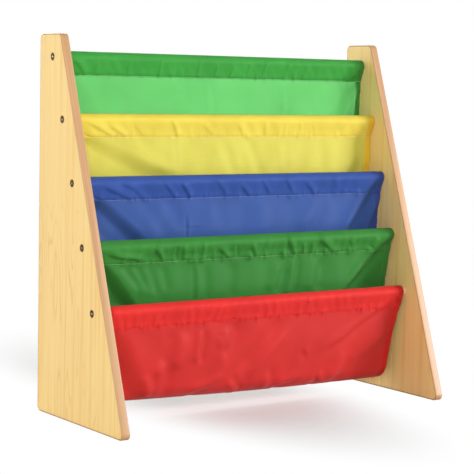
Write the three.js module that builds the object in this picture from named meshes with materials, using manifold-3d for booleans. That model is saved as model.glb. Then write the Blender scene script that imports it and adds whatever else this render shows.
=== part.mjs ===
// Child's sling bookshelf: two sloping side panels, five wooden rods bolted between them, and five cloth panels
// that hang from the rods and make four book pockets.
// Millimetres, +Z up, +X to the right, the pockets open towards -Y. The origin is on the floor, at the middle of
// the shelf's width and of its depth.

import * as THREE from 'three';
import { mergeVertices } from 'three/addons/utils/BufferGeometryUtils.js';
import Module from 'manifold-3d';

const wasm = await Module();
wasm.setup();

// Overall sizes. The depth at the floor is measured to the sharp corner in which the front edge and the floor meet.
const height = 600;
const width = 632;
const depthAtFloor = 268;
const depthAtTop = 65;

// Side panels: laminated board with a plastic band glued round its edge
const panelThickness = 14;
const panelCornerRadius = 9;
const bandThickness = 2;
const bandArrisRadius = 1.5;
const cornerSteps = 5;
const arrisSteps = 2;

// Clearances
const seatGap = 0.3;
const cutOverrun = 5;

// Rods
const rodCount = 5;
const rodRadius = 8;
const rodEndChamfer = 0.8;
const rodDropFromTop = 36;
const rodInsetFromFront = 35;
const rodSides = 20;

// Bolts: countersunk, with a cross recess
const boltShankRadius = 3;
const boltHeadRadius = 6;
const boltHeadRim = 0.5;
const boltHeadHeight = 3.3;
const boltHeadSink = 0.2;
const boltReachIntoRod = 16;
const boltTipChamfer = 1;
const recessSpan = 6.4;
const recessSlot = 1.4;
const recessDepth = 2;
const boltSides = 18;
const boltTurnStepShare = 0.37;

// Threaded inserts, pressed and glued into the rod ends
const insertRadius = 4.5;
const insertLength = 18;
const insertGroove = 0.5;
const insertGrooveWidth = 4;
const insertSides = 12;
const rodBoreSpareDepth = 2;

// Cloth: each panel has a sleeve round its rod and a single layer below the sleeve's seam
const clothThickness = 0.8;
const sleeveSeamDrop = 28;
const pocketDepth = 161;
const pocketFloorClearance = 26;
const lapRise = 22;
const lapWidth = 12;
const sleeveArcSteps = 10;
const wallSteps = 3;
const turnSteps = 3;
const widthSteps = 10;

// The five cloths from the top one down. The side gap is what each side hem keeps from the panel, and the lean is
// how far the cloth moves back for each millimetre that it falls. Three cloths turn forwards under their pocket and
// are sewn to the next cloth's back. The fourth ends in a hem, and the red one turns back under it.
const cloths = [
  { name: 'sling_green_top', color: 0x4daa4b, sideGap: 0.8, leanShare: 0, ending: 'forwards' },
  { name: 'sling_yellow', color: 0xffe150, sideGap: 1.4, leanShare: 0.04, ending: 'forwards' },
  { name: 'sling_blue', color: 0x5064b4, sideGap: 2, leanShare: 0.09, ending: 'forwards' },
  { name: 'sling_green', color: 0x3c8c3f, sideGap: 4.7, leanShare: 0.17, ending: 'hem' },
  { name: 'sling_red', color: 0xd73732, sideGap: 6.8, leanShare: 0.165, ending: 'backwards' },
];

// Where the turn under a pocket starts above the pocket's floor, and where across the pocket it is lowest
const turns = {
  forwards: { rise: 26, lowestShare: 0.5 },
  backwards: { rise: 60, lowestShare: 0.68 },
};

// The bottom pocket hangs lower in the middle, and lower at the right than at the left
const bottomSag = 3.5;
const bottomTilt = 5;
const sagRise = 80;

// A cubic curve with its handles at this share of the radius follows a quarter of an ellipse
const quarterArcShare = 0.5523;

// Materials
const boardFinish = { color: 0xf6d898, roughness: 0.45, metalness: 0 };
const bandFinish = { color: 0xe4b484, roughness: 0.4, metalness: 0 };
const dowelFinish = { color: 0xe9c79c, roughness: 0.6, metalness: 0 };
const boltFinish = { color: 0x9a948a, roughness: 0.3, metalness: 0.9 };
const insertFinish = { color: 0xb8a06a, roughness: 0.35, metalness: 0.9 };
const clothFinish = { roughness: 0.5, metalness: 0, side: THREE.DoubleSide };

// Derived places
const panelInnerX = width / 2 - panelThickness;
const frontSlope = (depthAtFloor - depthAtTop) / height;
const slopeStretch = Math.hypot(1, frontSlope);
const toeRounding = panelCornerRadius * (frontSlope + slopeStretch - 1);
const backY = (depthAtFloor - toeRounding) / 2;
const rodLength = 2 * (panelInnerX - seatGap);
const sleeveInnerRadius = rodRadius + seatGap;
const sleeveOuterRadius = sleeveInnerRadius + clothThickness;
const lapSpacing = clothThickness + seatGap;
const topRodZ = height - rodDropFromTop;
const bottomRodZ = pocketFloorClearance + pocketDepth - sleeveOuterRadius;
const rodPitchZ = (topRodZ - bottomRodZ) / (rodCount - 1);

function frontY(z) {
  return backY - depthAtFloor + frontSlope * z;
}

function rodCentre(index) {
  const z = topRodZ - index * rodPitchZ;
  return new THREE.Vector2(frontY(z) + rodInsetFromFront * slopeStretch, z);
}

// Sections are drawn in a plane of (y, z), and extruded along x from there.
const sectionToWorld = new THREE.Matrix4().makeBasis(
  new THREE.Vector3(0, 1, 0),
  new THREE.Vector3(0, 0, 1),
  new THREE.Vector3(1, 0, 0),
);

function extrudeAlongX(shape, options) {
  const geometry = new THREE.ExtrudeGeometry(shape, options);
  geometry.translate(0, 0, -options.depth / 2);
  return geometry.applyMatrix4(sectionToWorld);
}

// A lathe turns its profile round Y. This lays that axis along X.
function layAlongX(geometry) {
  return geometry.rotateZ(-Math.PI / 2);
}

function closedGeometry(geometry) {
  const bare = geometry.clone();
  bare.deleteAttribute('normal');
  bare.deleteAttribute('uv');
  return mergeVertices(bare);
}

function toSolid(geometry) {
  const closed = closedGeometry(geometry);
  return new wasm.Manifold(new wasm.Mesh({
    numProp: 3,
    vertProperties: new Float32Array(closed.attributes.position.array),
    triVerts: new Uint32Array(closed.index.array),
  }));
}

function toGeometry(solid) {
  const mesh = solid.getMesh();
  const geometry = new THREE.BufferGeometry();
  geometry.setAttribute('position', new THREE.BufferAttribute(mesh.vertProperties, mesh.numProp));
  geometry.setIndex(new THREE.BufferAttribute(mesh.triVerts, 1));
  return geometry;
}

function subtractAll(geometry, cutters) {
  return toGeometry(cutters.reduce((solid, cutter) => solid.subtract(toSolid(cutter)), toSolid(geometry)));
}

function namedMesh(name, geometry, finish) {
  const flat = geometry.index ? geometry.toNonIndexed() : geometry;
  flat.computeVertexNormals();
  const mesh = new THREE.Mesh(flat, new THREE.MeshStandardMaterial(finish));
  mesh.name = name;
  return mesh;
}

// Side panels

// The panel's four corners, moved in from its edges by the inset. They run round it anticlockwise.
function panelCorners(inset) {
  const front = (z) => frontY(z) + inset * slopeStretch;
  return [
    new THREE.Vector2(front(inset), inset),
    new THREE.Vector2(backY - inset, inset),
    new THREE.Vector2(backY - inset, height - inset),
    new THREE.Vector2(front(height - inset), height - inset),
  ];
}

function roundedShape(corners, radius) {
  const shape = new THREE.Shape();
  corners.forEach((corner, i) => {
    const toPrevious = corners.at(i - 1).clone().sub(corner).normalize();
    const toNext = corners[(i + 1) % corners.length].clone().sub(corner).normalize();
    const halfAngle = Math.acos(toPrevious.dot(toNext)) / 2;
    const inward = toPrevious.clone().add(toNext).normalize();
    const centre = corner.clone().addScaledVector(inward, radius / Math.sin(halfAngle));
    const start = corner.clone().addScaledVector(toPrevious, radius / Math.tan(halfAngle)).sub(centre);
    const end = corner.clone().addScaledVector(toNext, radius / Math.tan(halfAngle)).sub(centre);
    shape.absarc(centre.x, centre.y, radius, start.angle(), end.angle(), false);
  });
  return shape;
}

function panelSlab(inset, thickness, arris) {
  const shape = roundedShape(panelCorners(inset), panelCornerRadius - inset);
  return extrudeAlongX(shape, {
    depth: thickness - 2 * arris,
    curveSegments: cornerSteps,
    bevelEnabled: arris > 0,
    bevelThickness: arris,
    bevelSize: arris,
    bevelOffset: -arris,
    bevelSegments: arrisSteps,
  });
}

// The bolt's hole is the bolt's own outline, grown by the seat gap. Its head opens in the outer face.
function boltHoleCutter(index, side) {
  const outerFace = panelThickness / 2;
  const coneFoot = outerFace - boltHeadSink - boltHeadHeight;
  const coneMouth = outerFace - boltHeadSink - boltHeadRim;
  const profile = [
    new THREE.Vector2(0, -outerFace - cutOverrun),
    new THREE.Vector2(boltShankRadius + seatGap, -outerFace - cutOverrun),
    new THREE.Vector2(boltShankRadius + seatGap, coneFoot),
    new THREE.Vector2(boltHeadRadius + seatGap, coneMouth),
    new THREE.Vector2(boltHeadRadius + seatGap, outerFace + cutOverrun),
    new THREE.Vector2(0, outerFace + cutOverrun),
  ];
  const cutter = new THREE.LatheGeometry(profile, boltSides);
  cutter.rotateZ(-side * Math.PI / 2);
  const centre = rodCentre(index);
  return cutter.translate(0, centre.x, centre.y);
}

function sidePanelGeometry(side) {
  const board = panelSlab(bandThickness + seatGap, panelThickness, 0);
  const holes = Array.from({ length: rodCount }, (_, index) => boltHoleCutter(index, side));
  return subtractAll(board, holes);
}

function edgeBandGeometry() {
  const outer = panelSlab(0, panelThickness, bandArrisRadius);
  const inner = panelSlab(bandThickness, panelThickness + 2 * cutOverrun, 0);
  return subtractAll(outer, [inner]);
}

// Rods, inserts and bolts, each about its own axis

function rodGeometry() {
  const half = rodLength / 2;
  const boreRadius = insertRadius + seatGap;
  const boreDepth = seatGap + insertLength + rodBoreSpareDepth;
  const oneEnd = [
    new THREE.Vector2(0, half - boreDepth),
    new THREE.Vector2(boreRadius, half - boreDepth),
    new THREE.Vector2(boreRadius, half),
    new THREE.Vector2(rodRadius - rodEndChamfer, half),
    new THREE.Vector2(rodRadius, half - rodEndChamfer),
  ];
  const otherEnd = oneEnd.map((point) => new THREE.Vector2(point.x, -point.y));
  return layAlongX(new THREE.LatheGeometry([...otherEnd, ...oneEnd.reverse()], rodSides));
}

// The insert lies along +X from its mouth at zero. A shallow groove round its middle holds the glue.
function insertGeometry() {
  const grooveRadius = insertRadius - insertGroove;
  const boreRadius = boltShankRadius + seatGap;
  const grooveStart = (insertLength - insertGrooveWidth) / 2;
  const grooveEnd = grooveStart + insertGrooveWidth;
  const profile = [
    new THREE.Vector2(boreRadius, 0),
    new THREE.Vector2(insertRadius, 0),
    new THREE.Vector2(insertRadius, grooveStart),
    new THREE.Vector2(grooveRadius, grooveStart),
    new THREE.Vector2(grooveRadius, grooveEnd),
    new THREE.Vector2(insertRadius, grooveEnd),
    new THREE.Vector2(insertRadius, insertLength),
    new THREE.Vector2(boreRadius, insertLength),
    new THREE.Vector2(boreRadius, 0),
  ];
  return layAlongX(new THREE.LatheGeometry(profile, insertSides));
}

// The bolt lies along +X from the top of its head at zero.
function boltGeometry() {
  const length = panelThickness - boltHeadSink + boltReachIntoRod;
  const profile = [
    new THREE.Vector2(0, 0),
    new THREE.Vector2(boltHeadRadius, 0),
    new THREE.Vector2(boltHeadRadius, boltHeadRim),
    new THREE.Vector2(boltShankRadius, boltHeadHeight),
    new THREE.Vector2(boltShankRadius, length - boltTipChamfer),
    new THREE.Vector2(boltShankRadius - boltTipChamfer, length),
    new THREE.Vector2(0, length),
  ];
  const body = layAlongX(new THREE.LatheGeometry(profile, boltSides));
  const slots = [
    new THREE.BoxGeometry(2 * recessDepth, recessSpan, recessSlot),
    new THREE.BoxGeometry(2 * recessDepth, recessSlot, recessSpan),
  ];
  return subtractAll(body, slots);
}

// Cloth

// The wall's middle line falls from the sleeve's seam and leans back as it goes.
function wallPoint(index, z) {
  const rod = rodCentre(index);
  const fall = rod.y - sleeveSeamDrop - z;
  return new THREE.Vector2(rod.x + cloths[index].leanShare * fall, z);
}

function wallDirection(index) {
  return new THREE.Vector2(cloths[index].leanShare, -1).normalize();
}

// The floor of the pocket behind a cloth, measured down from the top of that cloth's sleeve
function pocketFloorZ(index) {
  return rodCentre(index).y + sleeveOuterRadius - pocketDepth;
}

function quarterTurn(from, fromDirection, to, toDirection) {
  const chord = to.clone().sub(from);
  const fromReach = quarterArcShare * Math.abs(chord.dot(fromDirection));
  const toReach = quarterArcShare * Math.abs(chord.dot(toDirection));
  return new THREE.CubicBezierCurve(
    from,
    from.clone().addScaledVector(fromDirection, fromReach),
    to.clone().addScaledVector(toDirection, -toReach),
    to,
  );
}

// The cloth turns under the pocket and up against the back of the neighbour's wall, where its lap is sewn.
function turnUnder(index, start, neighbour, floorZ) {
  const lapStart = wallPoint(neighbour, floorZ + lapRise);
  const lapEnd = wallPoint(neighbour, floorZ + lapRise + lapWidth);
  lapStart.x += lapSpacing;
  lapEnd.x += lapSpacing;
  const { lowestShare } = turns[cloths[index].ending];
  const lowest = new THREE.Vector2(THREE.MathUtils.lerp(start.x, lapStart.x, lowestShare), floorZ);
  const across = new THREE.Vector2(Math.sign(lapStart.x - start.x), 0);
  const upwards = wallDirection(neighbour).negate();
  return [
    ...quarterTurn(start, wallDirection(index), lowest, across).getPoints(turnSteps).slice(1),
    ...quarterTurn(lowest, across, lapStart, upwards).getPoints(turnSteps).slice(1),
    lapEnd,
  ];
}

// The middle line of one cloth below its sleeve, from the seam to its last edge
function wallLine(index) {
  const { ending } = cloths[index];
  const seamZ = rodCentre(index).y - sleeveSeamDrop;
  const neighbour = ending === 'backwards' ? index - 1 : index + 1;
  const floorZ = pocketFloorZ(Math.max(index, neighbour));
  const straightEndZ = floorZ + (ending === 'hem' ? lapRise : turns[ending].rise);
  const wall = new THREE.LineCurve(wallPoint(index, seamZ), wallPoint(index, straightEndZ));
  const points = wall.getPoints(wallSteps);
  if (ending !== 'hem') {
    points.push(...turnUnder(index, points.at(-1), neighbour, floorZ));
  }
  return points;
}

// Moves a line sideways, to the left of the way that it runs.
function offsetLine(points, distance) {
  return points.map((point, i) => {
    const before = points[Math.max(i - 1, 0)];
    const after = points[Math.min(i + 1, points.length - 1)];
    const along = after.clone().sub(before).normalize();
    return new THREE.Vector2(point.x - along.y * distance, point.y + along.x * distance);
  });
}

// The round part of a sleeve, whose two sides run straight from it to a tip below the rod
function sleeveArc(rod, radius, tipDrop) {
  const backAngle = Math.acos(radius / tipDrop) - Math.PI / 2;
  const frontAngle = Math.PI - backAngle;
  return Array.from({ length: sleeveArcSteps + 1 }, (_, i) => {
    const angle = THREE.MathUtils.lerp(backAngle, frontAngle, i / sleeveArcSteps);
    return new THREE.Vector2(rod.x + radius * Math.cos(angle), rod.y + radius * Math.sin(angle));
  });
}

function clothSection(index) {
  const rod = rodCentre(index);
  const line = wallLine(index);
  const back = offsetLine(line, clothThickness / 2).reverse();
  const front = offsetLine(line, -clothThickness / 2);
  const shape = new THREE.Shape([...back, ...sleeveArc(rod, sleeveOuterRadius, sleeveSeamDrop), ...front]);
  const innerTipDrop = sleeveSeamDrop * (sleeveInnerRadius / sleeveOuterRadius);
  const innerTip = new THREE.Vector2(rod.x, rod.y - innerTipDrop);
  shape.holes.push(new THREE.Path([innerTip, ...sleeveArc(rod, sleeveInnerRadius, innerTipDrop)]));
  return shape;
}

// How far the bottom pocket hangs below its straight line
function sagOffset(x, z, halfWidth) {
  const sagTopZ = pocketFloorZ(rodCount - 1) + sagRise;
  const weight = THREE.MathUtils.clamp((sagTopZ - z) / sagRise, 0, 1);
  const across = x / halfWidth;
  return weight * (bottomSag * (1 - across ** 2) + bottomTilt * across);
}

function clothGeometry(index) {
  const clothWidth = 2 * (panelInnerX - cloths[index].sideGap);
  const section = clothSection(index);
  const geometry = extrudeAlongX(section, { depth: clothWidth, steps: widthSteps, bevelEnabled: false });
  const position = geometry.attributes.position;
  for (let i = 0; i < position.count; i++) {
    const z = position.getZ(i);
    position.setZ(i, z - sagOffset(position.getX(i), z, clothWidth / 2));
  }
  return geometry;
}

// The assembly

function panelGroup(side, sideName) {
  const group = new THREE.Group();
  group.position.x = side * (width - panelThickness) / 2;
  group.add(namedMesh(`side_panel_${sideName}`, sidePanelGeometry(side), boardFinish));
  group.add(namedMesh(`edge_band_${sideName}`, edgeBandGeometry(), bandFinish));
  return group;
}

// One rod with its two inserts and its two bolts. Each bolt stops at a turn of its own.
function rodGroup(index) {
  const group = new THREE.Group();
  const centre = rodCentre(index);
  group.position.set(0, centre.x, centre.y);
  const number = index + 1;
  group.add(namedMesh(`rod_${number}`, rodGeometry(), dowelFinish));
  for (const [side, sideName] of [[-1, 'left'], [1, 'right']]) {
    const insert = namedMesh(`insert_${sideName}_${number}`, insertGeometry(), insertFinish);
    const bolt = namedMesh(`bolt_${sideName}_${number}`, boltGeometry(), boltFinish);
    insert.position.x = side * (rodLength / 2 - seatGap);
    bolt.position.x = side * (width / 2 - boltHeadSink);
    insert.rotation.y = side > 0 ? Math.PI : 0;
    bolt.rotation.set(boltTurnStepShare * Math.PI * (number + side), insert.rotation.y, 0);
    group.add(insert, bolt);
  }
  return group;
}

function clothMesh(index) {
  const { name, color } = cloths[index];
  return namedMesh(name, clothGeometry(index), { ...clothFinish, color });
}

const bookshelf = new THREE.Group();
bookshelf.add(panelGroup(-1, 'left'), panelGroup(1, 'right'));
for (let index = 0; index < rodCount; index++) {
  bookshelf.add(rodGroup(index), clothMesh(index));
}

export default bookshelf;
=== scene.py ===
import math

import bmesh
import bpy
import numpy as np
from mathutils import Matrix, Vector


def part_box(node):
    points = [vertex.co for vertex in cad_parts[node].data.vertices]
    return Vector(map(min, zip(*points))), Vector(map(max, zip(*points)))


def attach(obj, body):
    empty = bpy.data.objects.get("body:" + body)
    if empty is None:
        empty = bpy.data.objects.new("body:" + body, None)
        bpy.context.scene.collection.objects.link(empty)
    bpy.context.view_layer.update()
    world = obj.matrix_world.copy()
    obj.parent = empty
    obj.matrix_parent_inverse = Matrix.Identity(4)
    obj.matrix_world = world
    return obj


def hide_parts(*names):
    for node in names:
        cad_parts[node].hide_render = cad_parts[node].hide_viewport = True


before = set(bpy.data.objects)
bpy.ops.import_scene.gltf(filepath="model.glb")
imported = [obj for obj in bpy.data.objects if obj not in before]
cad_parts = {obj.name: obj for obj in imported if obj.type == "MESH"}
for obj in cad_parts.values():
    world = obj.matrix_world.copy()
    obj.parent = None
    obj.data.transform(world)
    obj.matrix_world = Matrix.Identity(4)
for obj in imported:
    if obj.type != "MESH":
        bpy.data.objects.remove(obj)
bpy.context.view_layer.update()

bl_info = {
    "name": "Sling bookshelf",
    "version": (1, 0, 0),
    "blender": (4, 5, 0),
    "location": "View3D > Sidebar > Bookshelf",
    "description": "Dresses the packed bookshelf with boards, rods, bolts, hanging cloth and a studio",
    "category": "Add Mesh",
}

MM = 0.001
WHITE, BLACK = (1, 1, 1), (0, 0, 0)

# The picture's frame and the camera that took it
PICTURE_SIDE = 474
FOCAL_IN_PIXELS = 1596.92
SENSOR_WIDTH = 36.0
CAMERA_PLACE = Vector((-1.51313, -2.11243, 0.52779))
CAMERA_YAW, CAMERA_PITCH, CAMERA_ROLL = -0.6141, -0.0957, 0.0206

SIDES = (("left", -1), ("right", 1))
ROD_COUNT = 5


def node_centre(node):
    """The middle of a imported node's box."""
    low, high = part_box(node)
    return (low + high) / 2


ROD_CENTRES = [node_centre(f"rod_{number}") for number in range(1, ROD_COUNT + 1)]
ROD_LOW, ROD_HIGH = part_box("rod_1")
ROD_RADIUS = (ROD_HIGH.z - ROD_LOW.z) / 2
BAND_LOW, BAND_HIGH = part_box("edge_band_right")

# A place well inside the outline of both boards
BOARD_MIDDLE = Vector((0, (BAND_LOW.y + BAND_HIGH.y) / 2 + 0.03, 0.26))

# Each cloth with the node that it stands for and its slot, how it ends at its pocket's floor, the share of light
# that it lets through and that light's tint, how much lighter its thread is painted for the light that its twist
# catches, the tint of painted light and shade on its wall of one layer below the seam, and the painted shade that
# darkens its side hems for the light that their three layers hold back
CLOTHS = (
    {
        "name": "green_top", "node": "sling_green_top", "slot": "cloth_light_green", "ending": "forwards",
        "glow": 0.46, "glow_tint": WHITE, "thread": 0.32,
        "single": WHITE, "hem": (0.95, 0.72, 0.7),
    },
    {
        "name": "yellow", "node": "sling_yellow", "slot": "cloth_yellow", "ending": "forwards",
        "glow": 0.27, "glow_tint": (0.88, 1.0, 0.9), "thread": 0.34,
        "single": (0.82, 0.89, 1.05), "hem": (0.98, 0.77, 0.3),
    },
    {
        "name": "blue", "node": "sling_blue", "slot": "cloth_blue", "ending": "forwards",
        "glow": 0.38, "glow_tint": WHITE, "thread": 0.28,
        "single": (1.02, 1.03, 0.95), "hem": (0.85, 0.75, 0.85),
    },
    {
        "name": "green", "node": "sling_green", "slot": "cloth_green", "ending": "hem",
        "glow": 0.31, "glow_tint": WHITE, "thread": 0.22,
        "single": (0.84, 0.86, 0.81), "hem": (0.8, 0.8, 0.8),
    },
    {
        "name": "red", "node": "sling_red", "slot": "cloth_red", "ending": "backwards",
        "glow": 0.36, "glow_tint": WHITE, "thread": 0.0,
        "single": (0.87, 1.0, 1.04), "hem": (0.84, 0.6, 0.6),
    },
)

# How far each wall leans back, as a share of its fall
LEAN_SHARES = (0, 0.04, 0.09, 0.17, 0.165)

# How high above the pocket's floor each kind of turn starts, and how far along it is lowest
TURNS = {"forwards": (26 * MM, 0.5), "backwards": (25 * MM, 0.68)}

# How far a sleeve's cloth stands off its rod, the sleeve's outer radius, how far apart two layers lie, and the lap in
# which a cloth is sewn to the next one's back: its height above the pocket's floor, its width and its gap
SLEEVE_STAND_OFF = 0.8 * MM
SLEEVE_OUTER_RADIUS = 9.1 * MM
LAYER_GAP = 0.9 * MM
LAP_RISE, LAP_WIDTH, LAP_GAP = 22 * MM, 12 * MM, 1.1 * MM

# Spacing of a cloth's columns: in the middle, and in the strip at each side where the hem's seam runs. HEM_COLUMNS
# more at each side lie in the turned hem
COLUMN_PITCH = 1.9 * MM
EDGE_STRIP, EDGE_PITCH = 14 * MM, 0.9 * MM
HEM_COLUMNS = 8

# How far below its rod a wall goes behind the next sleeve, and where the folds of each kind of cloth have run out,
# in millimetres
HIDDEN_DROP = 112
FOLDS_END = {"forwards": HIDDEN_DROP, "hem": HIDDEN_DROP, "backwards": 150}

# How deep the small puckers along each seam are, in millimetres
PUCKERS = (0.8, 0.8, 1.3, 2.3, 1.6)

# How far each sleeve stands out in front of its rod, in millimetres
SLEEVE_SWELLS = (1.0, 1.0, 1.2, 3.0, 1.2)

# Folds of each cloth, in millimetres. Each runs down the cloth along a line of (x, drop below the rod) points. A
# drape has its half width, then how far the cloth stands out left of the line and right of it. A crease has its half
# width and its strength: one that ends by the seam is a ridge round the sleeve, RIDGE_GAIN times as high as its
# strength, and any other stands out at its left and falls back at its right. The middle of each wall stands out by
# its LIFT.
RIDGE_GAIN, CREASE_GAIN = 1.7, 5
LIFTS = (8, 8, 10, 10, 5)
DRAPES = (
    (
        ([(-302, -6), (-262, 60), (-238, 118)], 14, -7, 0),
        ([(318, -4), (290, 46), (262, 118)], 14, 0, -9),
    ),
    (
        ([(-320, 2), (-258, 34), (-216, 55), (-160, 79), (-90, 100), (-20, 122)], 14, -10, 0),
        ([(318, -20), (284, 42), (242, 118)], 15, 0, -7),
    ),
    (
        ([(-324, -22), (-255, 40), (-205, 82), (-166, 120)], 12, -15, 0),
        ([(-360, 10), (-293, 62), (-232, 120)], 13, 9, 0),
        ([(302, -16), (260, 46), (208, 116)], 16, 0, -11),
    ),
    (
        ([(-316, -16), (-266, 44), (-228, 90), (-209, 120)], 11, -17, 0),
        ([(-346, 10), (-300, 62), (-254, 120)], 12, 9, 0),
        ([(312, -14), (264, 33), (206, 90), (178, 120)], 13, 0, -11),
    ),
    (
        ([(-310, -10), (-262, 60), (-222, 160)], 22, -11, 0),
        ([(330, 26), (256, 92), (190, 132), (140, 160)], 12, 0, -6),
    ),
)
CREASES = (
    (
        ([(-295, -8), (-272, 10), (-256, 27)], 5.4, 1.6),
        ([(-240, -8), (-242, 28)], 3.6, 0.8),
        ([(-182, -8), (-181, 28)], 3.6, 0.8),
        ([(-122, -8), (-121, 28)], 3.6, 1.2),
        ([(-101, -8), (-93, 28)], 3.2, 0.8),
        ([(-47, -8), (-47, 28)], 4.0, 1.0),
        ([(-11, -8), (-13, 27)], 3.6, 1.2),
        ([(25, -8), (18, 28)], 4.0, 1.2),
        ([(56, -8), (52, 28)], 3.6, 0.6),
        ([(88, -8), (85, 28)], 3.6, 0.9),
        ([(139, -8), (128, 28)], 4.0, 1.5),
        ([(153, -8), (149, 28)], 3.6, 0.6),
        ([(176, -8), (172, 28)], 3.6, 0.8),
        ([(294, -8), (284, 14), (268, 28)], 6.3, 1.6),
        ([(304, 14), (270, 52), (240, 116)], 13, -1.6),
        ([(133, 30), (131, 112)], 7, 0.3),
        ([(-23, 30), (-22, 112)], 8, 0.3),
    ),
    (
        ([(-295, -8), (-256, 10), (-220, 27)], 5.1, 1.2),
        ([(-265, -8), (-232, 10), (-196, 27)], 4.2, 1.1),
        ([(-205, -8), (-168, 26)], 4.2, 0.5),
        ([(-125, -8), (-102, 28)], 3.8, 1.1),
        ([(-77, -8), (-31, 26)], 5.1, 0.8),
        ([(2, -8), (27, 26)], 4.2, 0.8),
        ([(63, -8), (71, 26)], 4.2, 0.5),
        ([(104, -8), (112, 28)], 4.2, 0.7),
        ([(134, -8), (146, 26)], 4.2, 0.5),
        ([(164, -8), (176, 26)], 4.2, 0.5),
        ([(243, -8), (232, 26)], 5.1, 0.5),
        ([(-106, 28), (-104, 92)], 5, -0.12),
        ([(-190, 28), (-156, 56), (-116, 74)], 14, 0.7),
        ([(-28, 28), (-12, 62), (4, 104)], 13, 0.7),
        ([(26, 28), (42, 60), (54, 104)], 13, 0.85),
        ([(106, 28), (108, 90)], 9, 0.45),
        ([(180, 30), (190, 90)], 14, 0.3),
    ),
    (
        ([(-289, -8), (-252, 8), (-208, 26)], 6.0, 1.7),
        ([(-245, -8), (-206, 10), (-186, 26)], 5.1, 0.9),
        ([(-162, -8), (-124, 28)], 4.2, 1.0),
        ([(-129, -8), (-96, 28)], 4.2, 1.6),
        ([(-61, -8), (-24, 26)], 4.7, 1.0),
        ([(-22, -8), (22, 28)], 4.7, 1.2),
        ([(31, -8), (61, 26)], 4.2, 0.9),
        ([(81, -8), (112, 28)], 4.7, 1.2),
        ([(114, -8), (158, 28)], 5.1, 1.3),
        ([(183, -8), (206, 26)], 5.1, 0.6),
        ([(243, -8), (226, 26)], 5.1, 0.6),
        ([(-106, 52), (-106, 104)], 4, -0.5),
        ([(302, -16), (260, 46), (208, 116)], 15, 1.5),
        ([(320, 16), (292, 62), (276, 112)], 9, 0.9),
        ([(-122, 71), (-96, 73), (-76, 72)], 2.5, -0.25),
        ([(-210, 28), (-180, 54), (-150, 92)], 14, 0.55),
        ([(-160, 28), (-136, 52), (-116, 88)], 14, 0.45),
        ([(-60, 30), (-40, 90)], 16, 0.3),
        ([(174, 30), (150, 62), (124, 96)], 16, 0.8),
        ([(60, 34), (50, 96)], 16, 0.4),
    ),
    (
        ([(-315, -8), (-256, 14), (-206, 20)], 5, 3.2),
        ([(-197, -8), (-168, 28)], 4.0, 2.03),
        ([(-154, -8), (-146, 28)], 3.6, -1.49),
        ([(-140, -8), (-130, 28)], 4.0, 1.62),
        ([(-120, -8), (-114, 28)], 3.6, 1.22),
        ([(-102, -8), (-94, 28)], 3.6, 1.22),
        ([(-87, -8), (-41, 28)], 4.5, 2.03),
        ([(-42, -8), (-26, 28)], 3.6, -1.22),
        ([(-14, -8), (12, 28)], 4.5, 2.03),
        ([(65, -8), (90, 28)], 5, 2.29),
        ([(100, -8), (105, 28)], 3.2, 2.03),
        ([(119, -8), (124, 28)], 3.2, 1.89),
        ([(124, -8), (176, 28)], 6.5, 2.43),
        ([(194, -8), (216, 28)], 5.4, 1.22),
        ([(265, -8), (252, 20)], 6.3, 1.49),
        ([(95, 26), (80, 104)], 10, 1.7),
        ([(310, -14), (262, 33), (204, 90), (176, 120)], 12, 1.7),
        ([(66, 40), (44, 90)], 13, 1.0),
        ([(-109, 26), (-107, 104)], 6, -0.5),
        ([(-96, 28), (-92, 100)], 10, 0.5),
        ([(-256, 26), (-236, 46), (-210, 74)], 9, 0.8),
        ([(-230, 26), (-214, 48), (-196, 78)], 9, 0.8),
        ([(-206, 27), (-196, 50), (-184, 82)], 9, 0.6),
        ([(-176, 30), (-165, 78)], 9, 0.5),
        ([(-40, 30), (-48, 96)], 14, 0.8),
        ([(140, 30), (128, 96)], 16, 1.2),
    ),
    (
        ([(-239, -8), (-242, 26)], 5.0, 0.56),
        ([(-206, -8), (-206, 26)], 5.0, 0.56),
        ([(-190, -8), (-190, 26)], 4.5, 0.43),
        ([(-156, -8), (-156, 28)], 5.0, 0.56),
        ([(-99, -8), (-110, 28)], 4.2, 0.93),
        ([(-84, -8), (-94, 28)], 4.0, 0.87),
        ([(-70, -8), (-80, 28)], 4.0, 0.68),
        ([(-48, -8), (-54, 28)], 5.0, 0.50),
        ([(-35, -8), (-38, 28)], 5.0, 0.43),
        ([(14, -8), (6, 28)], 5.0, 0.56),
        ([(26, -8), (22, 28)], 5.0, 0.50),
        ([(47, -8), (42, 28)], 5.0, 0.43),
        ([(85, -6), (92, 8)], 3.2, 0.8),
        ([(-160, 34), (-166, 60), (-178, 96)], 16, -1.4),
        ([(-74, 30), (-60, 46), (-62, 62), (-84, 78)], 15, 1.3),
        ([(-112, 34), (-116, 60), (-122, 96)], 9, 1.4),
        ([(60, 30), (10, 80), (-34, 124)], 15, -1.7),
        ([(90, 82), (98, 92), (108, 98)], 8, -0.5),
        ([(298, 6), (240, 36), (174, 74), (124, 98)], 9, 0.8),
        ([(-180, 84), (-192, 146)], 14, 1.8),
        ([(-60, 118), (-96, 132), (-134, 143)], 9, 1.1),
        ([(-58, 120), (-24, 148)], 7, 0.8),
        ([(98, 128), (72, 138), (46, 146)], 7, 1.0),
        ([(128, 128), (150, 148)], 7, -0.8),
        ([(20, 110), (34, 146)], 12, 0.9),
        ([(196, 96), (168, 146)], 15, 0.9),
        ([(-214, 100), (-206, 146)], 12, 1.4),
    ),
)


def to_linear(colour):
    """A colour written as sRGB hex, as the linear numbers that a shader reads."""
    shares = [int(colour[start : start + 2], 16) / 255 for start in (0, 2, 4)]
    return [s / 12.92 if s <= 0.04045 else ((s + 0.055) / 1.055) ** 2.4 for s in shares] + [1.0]


def colour_default(colour):
    """A colour written as sRGB hex, as the default of a colour property."""
    return to_linear(colour)[:3]


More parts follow.
